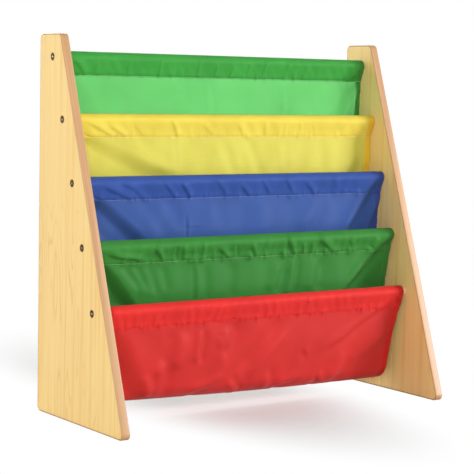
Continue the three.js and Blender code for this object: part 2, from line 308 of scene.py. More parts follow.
class BoardSettings(bpy.types.PropertyGroup):
    """Sizes and colours of the two side boards and their edge bands."""

    depth_at_floor: bpy.props.FloatProperty(
        name="Depth at the floor", description="To the sharp corner of front edge and floor", default=268 * MM,
        unit="LENGTH",
    )
    depth_at_top: bpy.props.FloatProperty(
        name="Depth at the top", description="To the sharp corners of the top edge", default=65 * MM, unit="LENGTH",
    )
    corner_radius: bpy.props.FloatProperty(
        name="Corner radius", description="Rounding of each board's four corners", default=9 * MM, unit="LENGTH",
    )
    band_thickness: bpy.props.FloatProperty(
        name="Band thickness", description="Thickness of the glued edge band", default=2 * MM, unit="LENGTH",
    )
    arris_radius: bpy.props.FloatProperty(
        name="Arris radius", description="Rounding of the band's long edges", default=1.5 * MM, unit="LENGTH",
    )
    face_colour: bpy.props.FloatVectorProperty(
        name="Face colour", description="Main tone of the printed pine", default=colour_default("f4d28a"),
        subtype="COLOR", min=0, max=1,
    )
    grain_colour: bpy.props.FloatVectorProperty(
        name="Grain colour", description="Tone of the printed late wood", default=colour_default("dba864"),
        subtype="COLOR", min=0, max=1,
    )
    band_colour: bpy.props.FloatVectorProperty(
        name="Band colour", description="Main tone of the edge band", default=colour_default("cb9d6f"),
        subtype="COLOR", min=0, max=1,
    )


class HardwareSettings(bpy.types.PropertyGroup):
    """Sizes of the rods and bolts."""

    rod_chamfer: bpy.props.FloatProperty(
        name="Rod chamfer", description="Chamfer at the rods' ends", default=0.8 * MM, unit="LENGTH",
    )
    bore_radius: bpy.props.FloatProperty(
        name="Bore radius", description="Radius of the bore for the insert", default=4.8 * MM, unit="LENGTH",
    )
    bore_depth: bpy.props.FloatProperty(
        name="Bore depth", description="Depth of the bore for the insert", default=20.3 * MM, unit="LENGTH",
    )
    head_radius: bpy.props.FloatProperty(
        name="Head radius", description="Radius of the bolt's head", default=6 * MM, unit="LENGTH",
    )
    shank_radius: bpy.props.FloatProperty(
        name="Shank radius", description="Radius of the bolt's shank", default=3 * MM, unit="LENGTH",
    )
    bolt_length: bpy.props.FloatProperty(
        name="Bolt length", description="Head's top to the tip", default=29.8 * MM, unit="LENGTH",
    )
    recess_span: bpy.props.FloatProperty(
        name="Recess span", description="Tip to tip of the cross recess", default=6.6 * MM, unit="LENGTH",
    )
    dowel_colour: bpy.props.FloatVectorProperty(
        name="Dowel colour", description="Main tone of the sanded rods", default=colour_default("ecca9f"),
        subtype="COLOR", min=0, max=1,
    )


class ClothSettings(bpy.types.PropertyGroup):
    """Sizes and colours of the hanging cloth."""

    thickness: bpy.props.FloatProperty(
        name="Thickness", description="Thickness of one layer", default=0.4 * MM, unit="LENGTH",
    )
    seam_drop: bpy.props.FloatProperty(
        name="Seam drop", description="Seam below the rod's middle", default=28 * MM, unit="LENGTH",
    )
    pocket_depth: bpy.props.FloatProperty(
        name="Pocket depth", description="Sleeve top to pocket floor", default=161 * MM, unit="LENGTH",
    )
    hem_width: bpy.props.FloatProperty(
        name="Hem width", description="Turned-back strip at each side", default=12 * MM, unit="LENGTH",
    )
    stitch_pitch: bpy.props.FloatProperty(
        name="Stitch pitch", description="Distance between stitches", default=3.2 * MM, unit="LENGTH",
    )
    thread_radius: bpy.props.FloatProperty(
        name="Thread radius", description="Radius of the sewing thread", default=0.5 * MM, unit="LENGTH",
    )
    green_top: bpy.props.FloatVectorProperty(
        name="Top green", description="Dye of the top cloth", default=colour_default("4cb14f"), subtype="COLOR",
        min=0, max=1,
    )
    yellow: bpy.props.FloatVectorProperty(
        name="Yellow", description="Dye of the yellow cloth", default=colour_default("ffe35e"), subtype="COLOR",
        min=0, max=1,
    )
    blue: bpy.props.FloatVectorProperty(
        name="Blue", description="Dye of the blue cloth", default=colour_default("4162b2"), subtype="COLOR",
        min=0, max=1,
    )
    green: bpy.props.FloatVectorProperty(
        name="Lower green", description="Dye of the lower green cloth", default=colour_default("41963e"),
        subtype="COLOR", min=0, max=1,
    )
    red: bpy.props.FloatVectorProperty(
        name="Red", description="Dye of the red cloth", default=colour_default("f13a37"), subtype="COLOR",
        min=0, max=1,
    )


class StageSettings(bpy.types.PropertyGroup):
    """Sizes and strengths of the studio."""

    floor_side: bpy.props.FloatProperty(
        name="Floor side", description="Length of the square floor's side", default=14.0, unit="LENGTH",
    )
    left_power: bpy.props.FloatProperty(
        name="Left lamp", description="Power of the lamp at the left, in watts", default=35.5, min=0,
    )
    front_power: bpy.props.FloatProperty(
        name="Front lamp", description="Power of the lamp at the front left, in watts", default=22.0, min=0,
    )
    right_power: bpy.props.FloatProperty(
        name="Right lamp", description="Power of the lamp at the right, in watts", default=80.0, min=0,
    )
    top_power: bpy.props.FloatProperty(
        name="Top lamp", description="Power of the lamp overhead, in watts", default=24.0, min=0,
    )
    back_power: bpy.props.FloatProperty(
        name="Back lamp", description="Power of the lamp behind the shelf, in watts", default=100.0, min=0,
    )
    ambient: bpy.props.FloatProperty(
        name="Ambient", description="Strength of the even light from all round", default=0.2, min=0,
    )


def add_node(tree, kind, values=None, links=None, **settings):
    """Adds a node with its settings, the values of its sockets, and the sockets that feed it."""
    node = tree.nodes.new(kind)
    for name, value in settings.items():
        setattr(node, name, value)
    for socket, value in (values or {}).items():
        node.inputs[socket].default_value = value
    for socket, source in (links or {}).items():
        tree.links.new(source, node.inputs[socket])
    return node


def new_material(name):
    """An empty material with an output node. Returns it, its node tree and the output."""
    material = bpy.data.materials.new(name)
    material.use_nodes = True
    material.node_tree.nodes.clear()
    return material, material.node_tree, material.node_tree.nodes.new("ShaderNodeOutputMaterial")


def stretched_noise(tree, source, scale, detail, place=(0, 0, 0)):
    """Noise whose cells are drawn out: scale holds cells per metre along X, Y and Z."""
    mapping = add_node(tree, "ShaderNodeMapping", {"Scale": scale, "Location": place}, {"Vector": source})
    return add_node(
        tree, "ShaderNodeTexNoise", {"Scale": 1.0, "Detail": detail, "Roughness": 0.55},
        {"Vector": mapping.outputs["Vector"]},
    ).outputs["Fac"]


def colour_between(tree, share, stops):
    """A colour ramp over (place, linear colour) stops."""
    ramp = add_node(tree, "ShaderNodeValToRGB", links={"Fac": share})
    elements = ramp.color_ramp.elements
    while len(elements) < len(stops):
        elements.new(0.5)
    for element, (place, colour) in zip(elements, stops):
        element.position = place
        element.color = list(colour)[:3] + [1.0]
    return ramp.outputs["Color"]


def mixed_colour(tree, share, first, second, blend="MIX"):
    """Two colours mixed: each is a socket or linear numbers, and so is the share."""
    node = add_node(tree, "ShaderNodeMix", data_type="RGBA", blend_type=blend, clamp_factor=True)
    for place, value in ((0, share), (6, first), (7, second)):
        if isinstance(value, bpy.types.NodeSocket):
            tree.links.new(value, node.inputs[place])
        else:
            node.inputs[place].default_value = value if place == 0 else list(value)[:3] + [1.0]
    return node.outputs[2]


def shade_of(colour, factor):
    """A linear colour made lighter or darker."""
    return [min(1.0, part * factor) for part in list(colour)[:3]]


def light_through(dye, factor):
    """The colour of light that has come through a thin dyed cloth: paler than the dye, so its power is under 1."""
    paleness = 0.28
    return [min(1.0, factor * part**paleness) for part in list(dye)[:3]]


def grained_surface(tree, output, colour, grain, bump, roughness, ior=1.5):
    """Gives a material its colour, and lets its grain make bumps, as (strength, height), and change how rough it is,
    from the first share to the second."""
    normal = add_node(
        tree, "ShaderNodeBump", {"Strength": bump[0], "Distance": bump[1]}, {"Height": grain}
    ).outputs["Normal"]
    rough = add_node(
        tree, "ShaderNodeMapRange", {"To Min": roughness[0], "To Max": roughness[1]}, {"Value": grain}
    ).outputs["Result"]
    shader = add_node(
        tree, "ShaderNodeBsdfPrincipled", {"IOR": ior}, {"Base Color": colour, "Roughness": rough, "Normal": normal}
    )
    tree.links.new(shader.outputs[0], output.inputs["Surface"])


def pine_print_laminate(settings):
    """Melamine board with a printed pine pattern under a satin film: pale straw colour, fine upright grain lines a
    millimetre or two apart, and a few long flame figures low down where the print's late wood shows."""
    material, tree, output = new_material("pine_print_laminate")
    place = add_node(tree, "ShaderNodeTexCoord").outputs["Object"]
    # Grain lines 1.6 mm apart, bands 13 mm, flames 110 mm and late-wood rings about 5 mm apart
    grain = stretched_noise(tree, place, (900, 620, 5), detail=4.0)
    bands = stretched_noise(tree, place, (60, 75, 1.6), detail=2.0, place=(3, 1, 5))
    drift = stretched_noise(tree, place, (9, 9, 2.5), detail=2.0, place=(1, 7, 2))
    warped = stretched_noise(tree, place, (20, 22, 2.1), detail=1.5, place=(5, 2, 8))
    ring_count = 21.0
    rings = add_node(tree, "ShaderNodeMath", {1: ring_count}, {0: warped}, operation="MULTIPLY").outputs[0]
    rings = add_node(tree, "ShaderNodeMath", links={0: rings}, operation="FRACT").outputs[0]
    lines = colour_between(tree, rings, ((0.0, WHITE), (0.62, WHITE), (0.88, BLACK), (1.0, WHITE)))
    flame = colour_between(tree, drift, ((0.46, BLACK), (0.62, WHITE)))
    face, late = settings.face_colour, settings.grain_colour
    base = colour_between(tree, grain, ((0.28, shade_of(face, 0.93)), (0.5, face), (0.72, shade_of(face, 1.04))))
    striped = colour_between(tree, bands, ((0.34, shade_of(face, 0.97)), (0.5, WHITE), (0.66, WHITE)))
    base = mixed_colour(tree, 0.35, base, striped, "MULTIPLY")
    between_lines = mixed_colour(tree, 1.0, flame, lines, "MULTIPLY")
    late_wood = add_node(
        tree, "ShaderNodeMath", links={0: flame, 1: between_lines}, operation="SUBTRACT"
    ).outputs[0]
    height = add_node(tree, "ShaderNodeSeparateXYZ", links={0: place}).outputs["Z"]
    low_down = add_node(
        tree, "ShaderNodeMapRange", {"From Min": 0.38, "From Max": 0.24, "To Max": 0.6}, {"Value": height}
    ).outputs["Result"]
    shown = add_node(
        tree, "ShaderNodeMath", links={0: late_wood, 1: low_down}, operation="MULTIPLY", use_clamp=True
    ).outputs[0]
    grained_surface(tree, output, mixed_colour(tree, shown, base, late), grain, (0.06, 0.15 * MM), (0.36, 0.5))
    return material


def wood_tone_edge_band(settings):
    """Extruded plastic edge band, printed with lengthwise wood streaks: warmer and pinker than the boards' faces,
    with a soft satin shine."""
    material, tree, output = new_material("wood_tone_edge_band")
    place = add_node(tree, "ShaderNodeTexCoord").outputs["Object"]
    # Streaks 1.4 mm and 6 mm apart across the band
    streaks = stretched_noise(tree, place, (700, 30, 4), detail=3.0)
    broad = stretched_noise(tree, place, (160, 8, 2), detail=2.0, place=(4, 4, 4))
    band = settings.band_colour
    colour = colour_between(tree, streaks, ((0.25, shade_of(band, 0.86)), (0.5, band), (0.78, shade_of(band, 1.08))))
    tint = colour_between(tree, broad, ((0.3, shade_of(band, 0.88)), (0.6, WHITE)))
    colour = mixed_colour(tree, 0.3, colour, tint, "MULTIPLY")
    grained_surface(tree, output, colour, streaks, (0.08, 0.1 * MM), (0.34, 0.46))
    return material


def turned_softwood(settings):
    """Softwood dowel, turned and sanded but not varnished: pale peach with fine lengthwise fibres, quite matt."""
    material, tree, output = new_material("turned_softwood")
    place = add_node(tree, "ShaderNodeTexCoord").outputs["Object"]
    # Fibres 1.1 mm and year rings 5 mm apart
    fibres = stretched_noise(tree, place, (8, 900, 900), detail=3.0)
    years = stretched_noise(tree, place, (2, 190, 190), detail=1.0, place=(2, 2, 2))
    dowel = settings.dowel_colour
    colour = colour_between(tree, years, ((0.35, shade_of(dowel, 0.82)), (0.5, dowel), (0.7, shade_of(dowel, 1.06))))
    tint = colour_between(tree, fibres, ((0.3, (0.82, 0.76, 0.7)), (0.6, WHITE)))
    colour = mixed_colour(tree, 0.5, colour, tint, "MULTIPLY")
    grained_surface(tree, output, colour, fibres, (0.25, 0.15 * MM), (0.55, 0.72), ior=1.45)
    return material


def plated_steel(name, light, dark, roughness):
    """Steel plated and tumbled in a barrel: a soft metal shine that varies in small cloudy patches."""
    material, tree, output = new_material(name)
    place = add_node(tree, "ShaderNodeTexCoord").outputs["Object"]
    # Clouds 2.4 mm across
    clouds = stretched_noise(tree, place, (420, 420, 420), detail=3.0)
    colour = colour_between(tree, clouds, ((0.35, to_linear(dark)), (0.65, to_linear(light))))
    rough = add_node(
        tree, "ShaderNodeMapRange", {"To Min": roughness - 0.06, "To Max": roughness + 0.1}, {"Value": clouds}
    ).outputs["Result"]
    shader = add_node(
        tree, "ShaderNodeBsdfPrincipled", {"Metallic": 1.0}, {"Base Color": colour, "Roughness": rough}
    )
    tree.links.new(shader.outputs[0], output.inputs["Surface"])
    return material


def woven_polyester(cloth, dye, hem_start, seam_way):
    """Plain-woven polyester lining cloth, dyed in the piece and pressed: smooth with a slight sheen, and thin enough
    to glow where light comes from behind. Beyond the seam, where the wall hangs in one layer, its colour is tinted
    with painted light and shade against the doubled sleeve, and the side hems are darkened with painted shade for the
    light that their three layers hold back."""
    material, tree, output = new_material(f"woven_polyester_{cloth['name']}")
    cut = add_node(tree, "ShaderNodeUVMap", uv_map="cut").outputs["UV"]
    # The real weave of 0.25 mm is too fine to show. A wave of this scale is 6.3 mm long, and gives the cloth a faint
    # unevenness
    weave_scale = 50.0
    threads = [
        add_node(
            tree, "ShaderNodeTexWave",
            {"Scale": weave_scale, "Distortion": 0.6, "Detail": 1.0, "Detail Scale": 3.0},
            {"Vector": cut}, wave_type="BANDS", bands_direction=direction,
        ).outputs["Fac"]
        for direction in ("X", "Y")
    ]
    weave = add_node(tree, "ShaderNodeMath", links={0: threads[0], 1: threads[1]}, operation="MULTIPLY").outputs[0]
    # Slubs 1.4 mm apart, and clouds of the dye about 80 mm across
    slubs = stretched_noise(tree, cut, (30, 700, 1), detail=2.0)
    clouds = stretched_noise(tree, cut, (14, 11, 1), detail=2.0, place=(3, 3, 0))
    colour = colour_between(tree, clouds, ((0.3, shade_of(dye, 0.94)), (0.7, shade_of(dye, 1.04))))
    fine = colour_between(tree, slubs, ((0.3, (0.9, 0.9, 0.9)), (0.6, WHITE)))
    colour = mixed_colour(tree, 0.5, colour, fine, "MULTIPLY")
    flat_place = add_node(tree, "ShaderNodeSeparateXYZ", links={0: cut}).outputs
    from_middle = add_node(tree, "ShaderNodeMath", links={0: flat_place["X"]}, operation="ABSOLUTE").outputs[0]
    # Masks for the painted light and shade: the one-layer wall below the seam, and the side hems
    painted_wall_light_mask, painted_hem_shade_mask = [
        add_node(
            tree, "ShaderNodeMapRange", {"From Min": start, "From Max": start + 1 * MM}, {"Value": way}
        ).outputs["Result"]
        for start, way in ((seam_way, flat_place["Y"]), (hem_start, from_middle))
    ]
    # Painted light and shade: the wall's tint stands in for light from behind and for its shade against the sleeve
    single = mixed_colour(tree, 1.0, colour, cloth["single"], "MULTIPLY")
    # Painted shade: the side hems are darkened for the light that their three layers hold back
    painted_hem_shade = mixed_colour(tree, 1.0, colour, cloth["hem"], "MULTIPLY")
    colour = mixed_colour(tree, painted_wall_light_mask, colour, single)
    colour = mixed_colour(tree, painted_hem_shade_mask, colour, painted_hem_shade)
    glow = colour_between(tree, clouds, ((0.3, light_through(dye, 1.08)), (0.7, light_through(dye, 1.16))))
    glow = mixed_colour(tree, 1.0, glow, cloth["glow_tint"], "MULTIPLY")
    bump = add_node(
        tree, "ShaderNodeBump", {"Strength": 0.12, "Distance": 0.1 * MM}, {"Height": weave}
    ).outputs["Normal"]
    rough = add_node(
        tree, "ShaderNodeMapRange", {"To Min": 0.52, "To Max": 0.62}, {"Value": slubs}
    ).outputs["Result"]
    front = add_node(
        tree, "ShaderNodeBsdfPrincipled", {"Specular IOR Level": 0.22, "Sheen Weight": 0.1, "Sheen Roughness": 0.4},
        {"Base Color": colour, "Roughness": rough, "Normal": bump},
    )
    through = add_node(tree, "ShaderNodeBsdfTranslucent", links={"Color": glow, "Normal": bump})
    both = add_node(
        tree, "ShaderNodeMixShader", {0: cloth["glow"]}, {1: front.outputs[0], 2: through.outputs[0]}
    )
    tree.links.new(both.outputs[0], output.inputs["Surface"])
    return material


def spun_polyester_thread(name, dye, lift):
    """Twisted sewing thread in the cloth's own colour: paler by its lift, because the round twist catches light."""
    material, tree, output = new_material(f"spun_polyester_thread_{name}")
    place = add_node(tree, "ShaderNodeTexCoord").outputs["Object"]
    twist = add_node(
        tree, "ShaderNodeTexWave", {"Scale": 900.0, "Distortion": 0.5}, {"Vector": place},
        wave_type="BANDS", bands_direction="DIAGONAL",
    ).outputs["Fac"]
    valley = [(1 - lift) * part + lift * 0.8 for part in dye]
    crest = [(1 - lift) * part + lift for part in dye]
    colour = colour_between(tree, twist, ((0.2, valley), (0.8, crest)))
    bump = add_node(
        tree, "ShaderNodeBump", {"Strength": 0.4, "Distance": 0.05 * MM}, {"Height": twist}
    ).outputs["Normal"]
    shader = add_node(
        tree, "ShaderNodeBsdfPrincipled", {"Specular IOR Level": 0.25, "Roughness": 0.65},
        {"Base Color": colour, "Normal": bump},
    )
    tree.links.new(shader.outputs[0], output.inputs["Surface"])
    return material


def studio_paper():
    """White paper roll under the shelf. It keeps the shelf's shadow, and further off it shows plain white."""
    material, tree, output = new_material("studio_paper")
    place = add_node(tree, "ShaderNodeTexCoord").outputs["Object"]
    fibre = stretched_noise(tree, place, (40, 40, 40), detail=2.0)
    paper = colour_between(tree, fibre, ((0.3, (0.6, 0.6, 0.6)), (0.7, (0.62, 0.62, 0.62))))
    unseen_tone, glow_when_seen = (0.56, 0.56, 0.56), 0.24
    seen = add_node(tree, "ShaderNodeLightPath").outputs["Is Camera Ray"]
    colour = mixed_colour(tree, seen, unseen_tone, paper)
    matt = add_node(tree, "ShaderNodeBsdfDiffuse", links={"Color": colour})
    strength = add_node(tree, "ShaderNodeMath", {1: glow_when_seen}, {0: seen}, operation="MULTIPLY").outputs[0]
    lift = add_node(tree, "ShaderNodeEmission", {"Color": (1, 1, 1, 1)}, {"Strength": strength})
    both = add_node(tree, "ShaderNodeAddShader", links={0: matt.outputs[0], 1: lift.outputs[0]})
    # The white starts sooner at the shelf's sides than in front of it
    sideways, middle = (3.0, 1, 1), (0.0, 0.25, 0)
    squeezed = add_node(
        tree, "ShaderNodeVectorMath", {1: sideways}, {0: place}, operation="MULTIPLY"
    ).outputs[0]
    distance = add_node(
        tree, "ShaderNodeVectorMath", {1: middle}, {0: squeezed}, operation="DISTANCE"
    ).outputs["Value"]
    far = add_node(
        tree, "ShaderNodeMapRange", {"From Min": 0.3, "From Max": 0.76}, {"Value": distance},
        interpolation_type="SMOOTHSTEP",
    ).outputs["Result"]
    share = add_node(tree, "ShaderNodeMath", links={0: seen, 1: far}, operation="MULTIPLY").outputs[0]
    white = add_node(tree, "ShaderNodeEmission", {"Color": (1, 1, 1, 1)})
    faded = add_node(tree, "ShaderNodeMixShader", links={0: share, 1: both.outputs[0], 2: white.outputs[0]})
    tree.links.new(faded.outputs[0], output.inputs["Surface"])
    return material


def object_of(name, shape):
    """Makes an object of a bmesh, at the origin, and uses the bmesh up."""
    mesh = bpy.data.meshes.new(name)
    shape.to_mesh(mesh)
    shape.free()
    made = bpy.data.objects.new(name, mesh)
    bpy.context.scene.collection.objects.link(made)
    return made


def add_piece(name, shape, material, replaced, smooth_degrees):
    """Makes a piece of a bmesh and lets it ride on the shelf. Edges steeper than smooth_degrees stay sharp."""
    piece = object_of(name, shape)
    piece.data.materials.append(material)
    piece.data.shade_smooth()
    piece.data.set_sharp_from_angle(angle=math.radians(smooth_degrees))
    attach(piece, "root")
    if replaced:
        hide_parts(*replaced)
    return piece


def turned_shape(profile, steps):
    """Spins a profile of (x, radius) points about the X axis, and closes it."""
    shape = bmesh.new()
    points = [shape.verts.new((x, 0, radius)) for x, radius in profile]
    lines = [shape.edges.new(pair) for pair in zip(points, points[1:])]
    bmesh.ops.spin(
        shape, geom=points + lines, cent=(0, 0, 0), axis=(1, 0, 0), angle=math.tau, steps=steps, use_merge=True
    )
    bmesh.ops.remove_doubles(shape, verts=shape.verts, dist=0.01 * MM)
    bmesh.ops.recalc_face_normals(shape, faces=shape.faces)
    return shape


def board_outline(shape, x, settings):
    """A flat face with the board's outline in the plane of one x, its corners rounded."""
    back, height = BAND_HIGH.y, BAND_HIGH.z
    corners = [
        Vector((x, back - settings.depth_at_floor, 0)),
        Vector((x, back, 0)),
        Vector((x, back, height)),
        Vector((x, back - settings.depth_at_top, height)),
    ]
    face = shape.faces.new([shape.verts.new(corner) for corner in corners])
    for number, corner in enumerate(corners):
        before = (corners[number - 1] - corner).normalized()
        after = (corners[(number + 1) % 4] - corner).normalized()
        reach = settings.corner_radius / math.tan(before.angle(after) / 2)
        vert = min(shape.verts, key=lambda v: (v.co - corner).length)
        bmesh.ops.bevel(
            shape, geom=[vert], offset=reach, offset_type="OFFSET", affect="VERTICES", segments=12, profile=0.5,
            material=-1,
        )
    return shape.faces[:]


def edge_band(side, settings):
    """The plastic band round one board: a wall cut out of the board's outline, with rounded arrises."""
    shape = bmesh.new()
    outer_x = side * BAND_HIGH.x
    thickness = BAND_HIGH.x - BAND_LOW.x
    faces = board_outline(shape, outer_x, settings)
    shape.normal_update()
    pushed = bmesh.ops.extrude_face_region(shape, geom=faces)
    moved = [item for item in pushed["geom"] if isinstance(item, bmesh.types.BMVert)]
    bmesh.ops.translate(shape, verts=moved, vec=(-side * thickness, 0, 0))
    bmesh.ops.recalc_face_normals(shape, faces=shape.faces)
    caps = [face for face in shape.faces if abs(face.normal.x) > 0.9]
    bmesh.ops.inset_region(shape, faces=caps, thickness=settings.band_thickness, use_even_offset=True)
    inner = [edge for cap in caps for edge in cap.edges]
    bmesh.ops.delete(shape, geom=caps, context="FACES_ONLY")
    bmesh.ops.bridge_loops(shape, edges=inner)
    bmesh.ops.recalc_face_normals(shape, faces=shape.faces)
    arrises = [
        edge for edge in shape.edges
        if len(edge.link_faces) == 2 and abs(edge.link_faces[0].normal.dot(edge.link_faces[1].normal)) < 0.2
        and is_outer(edge)
    ]
    bmesh.ops.bevel(
        shape, geom=arrises, offset=settings.arris_radius, offset_type="OFFSET", affect="EDGES", segments=4,
        profile=0.5, material=-1,
    )
    return shape


def is_outer(edge):
    """Whether an edge lies on the band's outer outline, and not on the board's side of it."""
    normals = [face.normal for face in edge.link_faces]
    wall = min(normals, key=lambda normal: abs(normal.x))
    outward = (edge.verts[0].co + edge.verts[1].co) / 2 - BOARD_MIDDLE
    return wall.y * outward.y + wall.z * outward.z > 0


def cross_recess(settings):
    """The tapered cross that a driver bit leaves in a bolt's head, as a cutter about the X axis."""
    cutter = bmesh.new()
    cut_depth, arm_width = 4 * MM, 1.5 * MM
    taper = (1, 0.45, 0.7)
    for turn in (0, math.pi / 2):
        made = bmesh.ops.create_cube(cutter, size=1.0)["verts"]
        bmesh.ops.scale(cutter, verts=made, vec=(cut_depth, settings.recess_span, arm_width))
        deep = [vert for vert in made if vert.co.x > 0]
        bmesh.ops.scale(cutter, verts=deep, vec=taper)
        bmesh.ops.rotate(cutter, verts=made, cent=(0, 0, 0), matrix=Matrix.Rotation(turn, 3, "X"))
    return cutter


def cut_away(shape, cutter):
    """Cuts one closed shape out of another with an exact Boolean, and returns what is left."""
    kept, tool = object_of("kept", shape), object_of("cutter", cutter)
    cut = kept.modifiers.new("cut", "BOOLEAN")
    cut.object, cut.operation, cut.solver, cut.use_self = tool, "DIFFERENCE", "EXACT", True
    bpy.context.view_layer.update()
    result = bmesh.new()
    result.from_object(kept, bpy.context.evaluated_depsgraph_get())
    for used in (kept, tool):
        mesh = used.data
        bpy.data.objects.remove(used)
        bpy.data.meshes.remove(mesh)
    return result


def bolt_shape(settings):
    """A countersunk bolt along +X, its head's top at zero, slightly domed and cut with a cross."""
    head, shank, length = settings.head_radius, settings.shank_radius, settings.bolt_length
    head_depth, tip_chamfer = 3.3 * MM, 1 * MM
    # (depth below the head's top, radius)
    profile = (
        (0.0, 0.0),
        (0.02 * MM, head * 0.45),
        (0.12 * MM, head * 0.86),
        (0.28 * MM, head * 0.985),
        (0.5 * MM, head),
        (0.62 * MM, head * 0.985),
        (head_depth, shank),
        (length - tip_chamfer, shank),
        (length, shank - tip_chamfer),
        (length, 0.0),
    )
    return cut_away(turned_shape(profile, 32), cross_recess(settings))


def wall_point(index, z, settings):
    """The middle of a cloth's wall at one height, as (y, z)."""
    rod = ROD_CENTRES[index]
    return Vector((rod.y + LEAN_SHARES[index] * (rod.z - settings.seam_drop - z), z))


def quarter_turn(start, start_way, end, end_way, steps):
    """Points on a smooth quarter of an ellipse from start to end, without the first one."""
    handle_share = 0.5523
    chord = end - start
    first = start + start_way * handle_share * abs(chord.dot(start_way))
    second = end - end_way * handle_share * abs(chord.dot(end_way))
    points = []
    for step in range(1, steps + 1):
        t = step / steps
        a, b, c, d = (1 - t) ** 3, 3 * t * (1 - t) ** 2, 3 * t * t * (1 - t), t**3
        points.append(start * a + first * b + second * c + end * d)
    return points


def straight(start, end, spacing):
    """Evenly spaced points on a line from start to end, without the first one."""
    steps = max(1, round((end - start).length / spacing))
    return [start.lerp(end, step / steps) for step in range(1, steps + 1)]


def cloth_line(index, settings):
    """One cloth's section as (y, z) points, and the number of the one at its seam. It runs from the edge tucked into
    the sleeve up behind the rod, over it, down the wall, and under the pocket to the seam on the neighbour's back."""
    rod = Vector((ROD_CENTRES[index].y, ROD_CENTRES[index].z))
    ending = CLOTHS[index]["ending"]
    radius = ROD_RADIUS + SLEEVE_STAND_OFF
    seam_drop = settings.seam_drop
    # The tucked edge is this long, and its fold by the seam this high
    tucked, fold_top, fold_bottom = 9 * MM, 0.4 * MM, 0.7 * MM
    back_step, sleeve_step, wall_step, hidden_step, lap_step = 2.7 * MM, 1.8 * MM, 2.5 * MM, 5 * MM, 4 * MM
    side_angle = math.acos(radius / seam_drop)
    arc = [
        rod + radius * Vector((math.cos(angle), math.sin(angle)))
        for angle in np.linspace(side_angle - math.pi / 2, math.pi * 1.5 - side_angle, 22)
    ]
    seam = wall_point(index, rod.y - seam_drop, settings)
    seam_behind = seam + Vector((LAYER_GAP, 0))
    flap_gap = Vector((LAYER_GAP * 0.5, 0))
    line = [seam + flap_gap + Vector((0, tucked))]
    line += straight(line[0], seam + flap_gap - Vector((0, fold_top)), back_step)
    line += [seam + flap_gap * 1.5 - Vector((0, fold_bottom)), seam_behind - Vector((0, fold_top))]
    line += straight(seam_behind, arc[0], back_step)
    line += arc[1:]
    line += straight(arc[-1], seam, sleeve_step)
    seam_row = len(line) - 1
    neighbour = {"forwards": index + 1, "hem": index + 1, "backwards": index - 1}[ending]
    lowest_rod = ROD_CENTRES[max(index, neighbour)]
    floor_z = lowest_rod.z + SLEEVE_OUTER_RADIUS - settings.pocket_depth
    rise = LAP_RISE if ending == "hem" else TURNS[ending][0]
    wall_end = wall_point(index, floor_z + rise, settings)
    seen_end = wall_point(index, max(rod.y - HIDDEN_DROP * MM, floor_z + rise), settings)
    line += straight(seam, seen_end, wall_step)
    if (wall_end - seen_end).length > 1 * MM:
        line += straight(seen_end, wall_end, hidden_step)
    if ending != "hem":
        lap_start = wall_point(neighbour, floor_z + LAP_RISE, settings) + Vector((LAP_GAP, 0))
        lap_end = wall_point(neighbour, floor_z + LAP_RISE + LAP_WIDTH, settings) + Vector((LAP_GAP, 0))
        lowest = Vector((wall_end.x + (lap_start.x - wall_end.x) * TURNS[ending][1], floor_z))
        across = Vector((math.copysign(1, lap_start.x - wall_end.x), 0))
        down = Vector((LEAN_SHARES[index], -1)).normalized()
        up = -Vector((LEAN_SHARES[neighbour], -1)).normalized()
        line += quarter_turn(wall_end, down, lowest, across, 14)
        line += quarter_turn(lowest, across, lap_start, up, 10)
        line += straight(lap_start, lap_end, lap_step)
    return np.array([tuple(point) for point in line]), seam_row


def line_measure(points, x, drop):
    """For each place, its signed distance from a polyline in millimetres and its share of the way along it."""
    points = np.array(points, float)
    lengths = np.linalg.norm(np.diff(points, axis=0), axis=1)
    ways = np.concatenate([[0], np.cumsum(lengths)])
    best = np.full(x.shape, np.inf)
    signed, share = np.zeros(x.shape), np.zeros(x.shape)
    for start, end, length, way in zip(points, points[1:], lengths, ways):
        along_x, along_drop = (end - start) / length
        rel_x, rel_drop = x - start[0], drop - start[1]
        along = np.clip(rel_x * along_x + rel_drop * along_drop, 0, length)
        off_x, off_drop = rel_x - along * along_x, rel_drop - along * along_drop
        distance = np.hypot(off_x, off_drop)
        nearer = distance < best
        side = np.sign(along_x * rel_drop - along_drop * rel_x)
        signed = np.where(nearer, side * distance, signed)
        share = np.where(nearer, (way + along) / ways[-1], share)
        best = np.where(nearer, distance, best)
    return signed, share


def smooth_step(values, low, high):
    """Rises smoothly from 0 at low to 1 at high."""
    share = np.clip((values - low) / (high - low), 0, 1)
    return share * share * (3 - 2 * share)


def add_placed_folds(depth, index, x, drop, seam, wall_share, lift_share):
    """Adds the drapes and creases that are listed for one cloth to its depths, in place."""
    for line, width, left, right in DRAPES[index]:
        signed, _ = line_measure(line, x, drop)
        left_share = smooth_step(signed, -width, width)
        depth += left * left_share * wall_share + right * (1 - left_share) * lift_share
    # Each ridge on a sleeve rises at its own place, steep at one side and gentle at the other
    starts = np.random.default_rng(90 + index).uniform(0.02, 0.34, len(CREASES[index]))
    steep, gentle = 1.6, 0.8
    for (line, width, height), start in zip(CREASES[index], starts):
        signed, share = line_measure(line, x, drop)
        off = signed / width
        if line[-1][1] <= seam:
            off = np.where(off > 0, off * steep, off * gentle)
            taper = smooth_step(share, start, start + 0.3) * (1 - smooth_step(share, 0.88, 1))
            depth += RIDGE_GAIN * height * np.exp(-(off**2)) * taper
        else:
            taper = smooth_step(share, 0, 0.3) * (1 - smooth_step(share, 0.75, 1))
            depth += CREASE_GAIN * height * off * np.exp(-(off**2)) * taper


